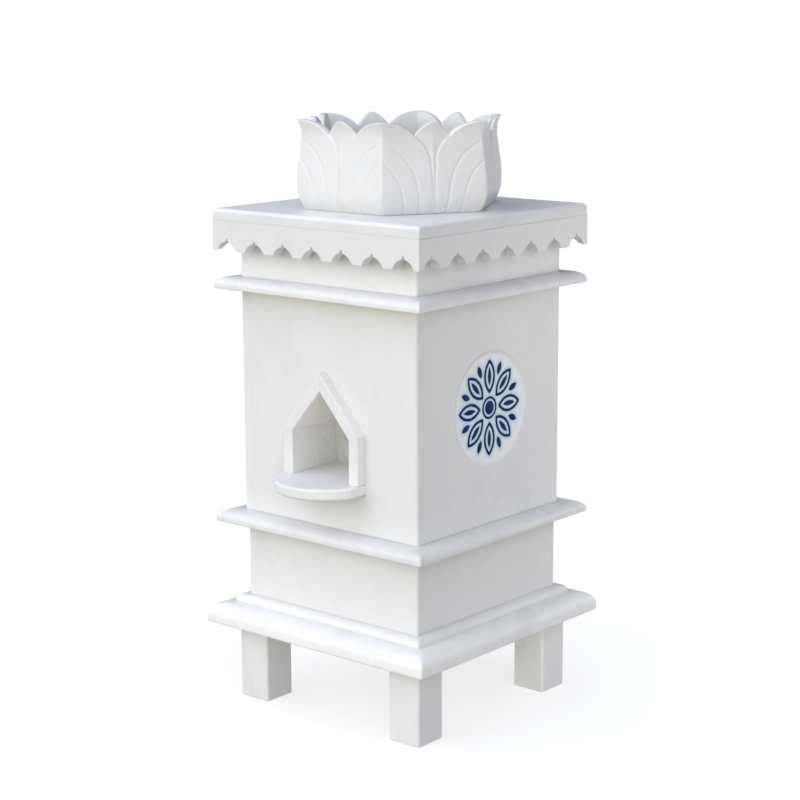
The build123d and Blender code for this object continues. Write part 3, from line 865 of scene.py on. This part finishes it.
def relief(points):
    """How deep the carving goes at each point (n, 2) of the drawing. The echo lines are grooves that fade
    towards the corner. Over the bud the stone steps back along the petal's edge and rises again to a
    ridge in the middle."""
    out, height = points[:, 0], points[:, 1]
    depth = GROOVE * (1 + FOOT_GROOVE * np.maximum(0, 1 - height / FOOT_HEIGHT))
    from_corner = SIDE - out
    carved = depth * np.clip(from_corner / FADE_OUTER, 0, 1) * groove(distance(points, outer_echo_points))
    carved += depth * np.clip(from_corner / FADE_INNER, 0, 1) * groove(distance(points, inner_echo_points))
    edge = distance(points, edge_points)
    edge_out = np.interp(height, petal_edge[:, 1], petal_edge[:, 0])
    over_bud = (out < edge_out) | (height > shoulder[COLUMNS, 1]) & (out < CREST[0])
    behind = smooth(np.where(over_bud, edge, 0), 0, STEP_WIDTH)
    bud = smooth(height, BUD_START, BUD_END)
    carved += depth * (1 - bud) * groove(edge)
    ridge = np.clip(1 - out / np.maximum(edge_out, LEAST_HALF_BUD), 0, 1)
    carved += bud * behind * (STEP_BACK - RIDGE * ridge)
    carved += CORNER_DRESSED * np.clip(1 - from_corner / CORNER_DRESSED_WIDTH, 0, 1)**2
    return carved


def wander(x, y, z):
    """How far the hand-worked faces stray outwards, in long waves and shorter ones across them."""
    long_waves = 0.22 * np.sin(x / 17 + 1.3) * np.sin(y / 21 + 0.4) * np.sin(z / 19)
    return long_waves + 0.16 * np.sin(x / 9 - y / 11 + z / 13)


def on_pot(points, depth, carving, face, side):
    """Points of the drawing on the pot: out along the face's normal by the apothem at that height, less
    the depth and the carving, and sideways in proportion, so that the faces meet at their corners."""
    angle = math.radians(60 * face - 90)
    normal = np.array([math.cos(angle), math.sin(angle)])
    along = np.array([-normal[1], normal[0]])
    height = points[:, 1]
    apothem = corner_radius(height) * FLAT_SHARE - depth - carving
    sideways = side * points[:, 0] / SIDE * apothem * HALF_FACE
    flat = apothem[:, None] * normal + sideways[:, None] * along
    stray = wander(flat[:, 0], flat[:, 1], height) / MEAN_RADIUS
    return np.concatenate([flat * (1 + stray)[:, None], points[:, 1:]], axis=1)


parts = []
for grid in strips:
    rows, columns = grid.shape[:2]
    points = grid.reshape(-1, 2)
    carving = relief(points)
    here = (np.arange(rows - 1)[:, None] * columns + np.arange(columns - 1)).reshape(-1, 1)
    quads = here + np.array([0, 1, columns + 1, columns])
    for face in range(6):
        for side, corners in ((1, quads), (-1, quads[:, ::-1])):
            parts.append((on_pot(points, 0, carving, face, side), corners.tolist()))


def all_round(points, depth, carving):
    """One ring round the pot from half a face's points, which run from its middle to its corner."""
    ring = []
    for face in range(6):
        ring.append(on_pot(points, depth, carving, face, -1)[:0:-1])
        ring.append(on_pot(points, depth, carving, face, 1)[:-1])
    return np.concatenate(ring)


def at_level(outline, level):
    """Half a face's points moved to a height, or each to its own."""
    return np.stack([outline[:, 0], np.broadcast_to(level, len(outline))], axis=1)


def towards_drain(ring, radius, share, level):
    """A ring part of the way from a hexagonal one to the circle of the drain hole."""
    flat = ring[:, :2] * (1 - share) + unit(ring[:, :2]) * radius * share
    return np.concatenate([flat, np.full((len(ring), 1), level)], axis=1)


rim_carving = relief(shoulder)
foot_points = np.concatenate([strips[0][0]] + [grid[0, 1:] for grid in strips[1:]])
foot_carving = relief(foot_points)
quarter = np.linspace(0, math.pi / 2, LIP_STEPS + 1)
quarter_round = np.stack([1 - np.sin(quarter), 1 - np.cos(quarter)], axis=1)  # upright and inwards
rings, foot_rings = [], []
for below, inwards in LIP_EASE * quarter_round:
    rings.append(all_round(rim + below * down, inwards, rim_carving))
for below, inwards in LIP_EASE * quarter_round[::-1]:
    rings.append(all_round(rim + below * down, WALL - inwards, 0))
inner_foot = POT_FLOOR + FLOOR_ROUND
for share in np.linspace(0, 1, WALL_RINGS + 1)[1:]:
    level = shoulder[:, 1] * (1 - share) + inner_foot * share
    rings.append(all_round(at_level(shoulder, level), WALL, 0))
for above, inwards in FLOOR_ROUND * quarter_round[1:]:
    rings.append(all_round(at_level(shoulder, POT_FLOOR + above), WALL + inwards, 0))
inside_foot = rings[-1]
for share in (0.25, 0.5, 0.75, 1):
    rings.append(towards_drain(inside_foot, DRAIN + DRAIN_EASE, share, POT_FLOOR))
rings.append(towards_drain(inside_foot, DRAIN + 0.3 * DRAIN_EASE, 1, POT_FLOOR - 0.3 * DRAIN_EASE))
rings.append(towards_drain(inside_foot, DRAIN, 1, POT_FLOOR - DRAIN_EASE))
for above, inwards in FOOT_EASE * quarter_round:
    foot_rings.append(all_round(at_level(foot_points, above), inwards, foot_carving))
for share in (1, 0.75, 0.5, 0.25, 0.02):
    rings.append(towards_drain(foot_rings[-1], DRAIN, share, 0))
rings = np.stack(rings + foot_rings[::-1])
parts.append((rings, ring_faces(*rings.shape[:2])))
vertices, faces = joined(parts)
pot = mesh_piece("lotus_pot_stone", vertices * MM + (0, 0, pot_low[2]), faces)
welded = bmesh.new()
welded.from_mesh(pot.data)
bmesh.ops.remove_doubles(welded, verts=welded.verts, dist=WELD)
welded.to_mesh(pot.data)
welded.free()


def in_the_wall(points):
    """How far each point (n, 3) lies inside the pot's faces: the apothem at its height less the greatest
    of its distances along the six normals."""
    angle = np.radians(60 * np.arange(6) - 90)
    reach_out = points[:, :2] @ np.stack([np.cos(angle), np.sin(angle)])
    return corner_radius(points[:, 2]) * FLAT_SHARE - reach_out.max(axis=1)


points = np.empty(3 * len(pot.data.vertices))
pot.data.vertices.foreach_get("co", points)
points = (points.reshape(-1, 3) - (0, 0, pot_low[2])) / MM
# The inner walls and floor are painted grey: painted shade inside the pot.
inside = smooth(in_the_wall(points), WALL / 2, WALL) * smooth(points[:, 2], 0, POT_FLOOR / 2)
pot.data.attributes.new("inside", "FLOAT", "POINT").data.foreach_set("value", inside)
pot_stone = marble("lotus_pot_marble", (2.6, 7.3, 0.9), cloud=0.4, veins=0.2, honey=0.1, tooth=0.16,
                   tints=[(lambda recipe: recipe.painted("inside"), INSIDE_PAINTED_SHADE)])
settle(pot, pot_stone, "pot_marble", "lotus_pot", body="pot")

# ---------------- floor, light and camera
# The planter stands on a wide pale studio floor before a white wall. Wide soft boxes stand
# all round and above it, the warm ones low in front and behind. A lit table glows up from
# below, and a small box fills the rear right.
FLOOR_HALF = 4000.0
SOFT_BOX = math.radians(60)  # how wide each looks from the planter
SUNS = (("low", (0.42, -0.90, 0.09), 1.16, (1.0, 0.96, 0.72)),
        ("front", (-0.366, -0.785, 0.5), 1.93, (0.87, 0.90, 1.0)),
        ("right", (0.821, -0.383, 0.423), 1.36, (0.83, 0.86, 1.0)),
        ("left", (-0.866, 0, 0.5), 0.98, (0.92, 0.92, 1.0)),
        ("above", (0.03, 0, 1.0), 1.16, (0.74, 0.81, 1.0)),
        ("back", (-0.25, 0.9, -0.36), 0.5, (1.0, 0.97, 0.90)))
floor_plan = rectangle(-FLOOR_HALF, -FLOOR_HALF, FLOOR_HALF, FLOOR_HALF)
floor = mesh_piece("studio_floor", at_heights(floor_plan[None], np.zeros(1))[0], [[0, 1, 2, 3]])
paper = Recipe("floor_paper")
floor.data.materials.append(paper.finish(Base_Color=(0.34, 0.34, 0.34, 1), Roughness=0.9,
                                         Emission_Color=(1, 1, 1, 1), Emission_Strength=0.70))
floor.visible_diffuse = floor.visible_shadow = False

world = bpy.data.worlds.new("studio")
world.use_nodes = True
sky = world.node_tree.nodes["Background"]
sky.inputs["Color"].default_value = (1.0, 1.0, 1.0, 1)
sky.inputs["Strength"].default_value = 1.0
studio = bpy.context.scene
studio.world = world
seen_by = world.cycles_visibility
seen_by.diffuse = seen_by.glossy = seen_by.transmission = seen_by.scatter = False


def light(name, kind, place, aim, power, colour, **settings):
    """A light at a place, turned to face a point."""
    source = bpy.data.lights.new(name, kind)
    source.energy, source.color = power, colour
    for setting, value in settings.items():
        setattr(source, setting, value)
    lamp = bpy.data.objects.new(name, source)
    lamp.location = place
    lamp.rotation_euler = (Vector(aim) - Vector(place)).to_track_quat("-Z", "Y").to_euler()
    studio.collection.objects.link(lamp)


light("table", "AREA", (0, 0, -0.02), (0, 0, 1), 48.0, (1.0, 0.97, 0.98), size=8.0)
for name, place, power, colour in SUNS:
    light(name, "SUN", place, (0, 0, 0), power, colour, angle=SOFT_BOX)
light("fill", "AREA", (0.6, 0.75, 0.5), (0.17, 0.16, 0.45), 1.46, (1.0, 1.0, 0.97), size=0.5)

IMAGE_WIDTH, FOCAL_PIXELS, SENSOR = 800, 1971.2, 36.0
AZIMUTH, ELEVATION, ROLL = 40.314, 11.570, -0.28  # degrees
CAMERA_DISTANCE = 3.083
azimuth, elevation, roll = (math.radians(angle) for angle in (AZIMUTH, ELEVATION, ROLL))
target = Vector((-0.0045, 0, 0.474))
outward = Vector((math.sin(azimuth) * math.cos(elevation), -math.cos(azimuth) * math.cos(elevation),
                  math.sin(elevation)))
level_right = Vector((0, 0, 1)).cross(outward).normalized()
level_up = outward.cross(level_right)
camera_right = level_right * math.cos(roll) + level_up * math.sin(roll)
camera_up = level_up * math.cos(roll) - level_right * math.sin(roll)
facing = Matrix((camera_right, camera_up, outward)).transposed().to_4x4()
camera_data = bpy.data.cameras.new("camera")
camera_data.sensor_width = SENSOR
camera_data.lens = FOCAL_PIXELS / IMAGE_WIDTH * SENSOR
camera = bpy.data.objects.new("camera", camera_data)
camera.matrix_world = Matrix.Translation(target + outward * CAMERA_DISTANCE) @ facing
studio.collection.objects.link(camera)
studio.camera = camera
studio.view_settings.view_transform = "Standard"
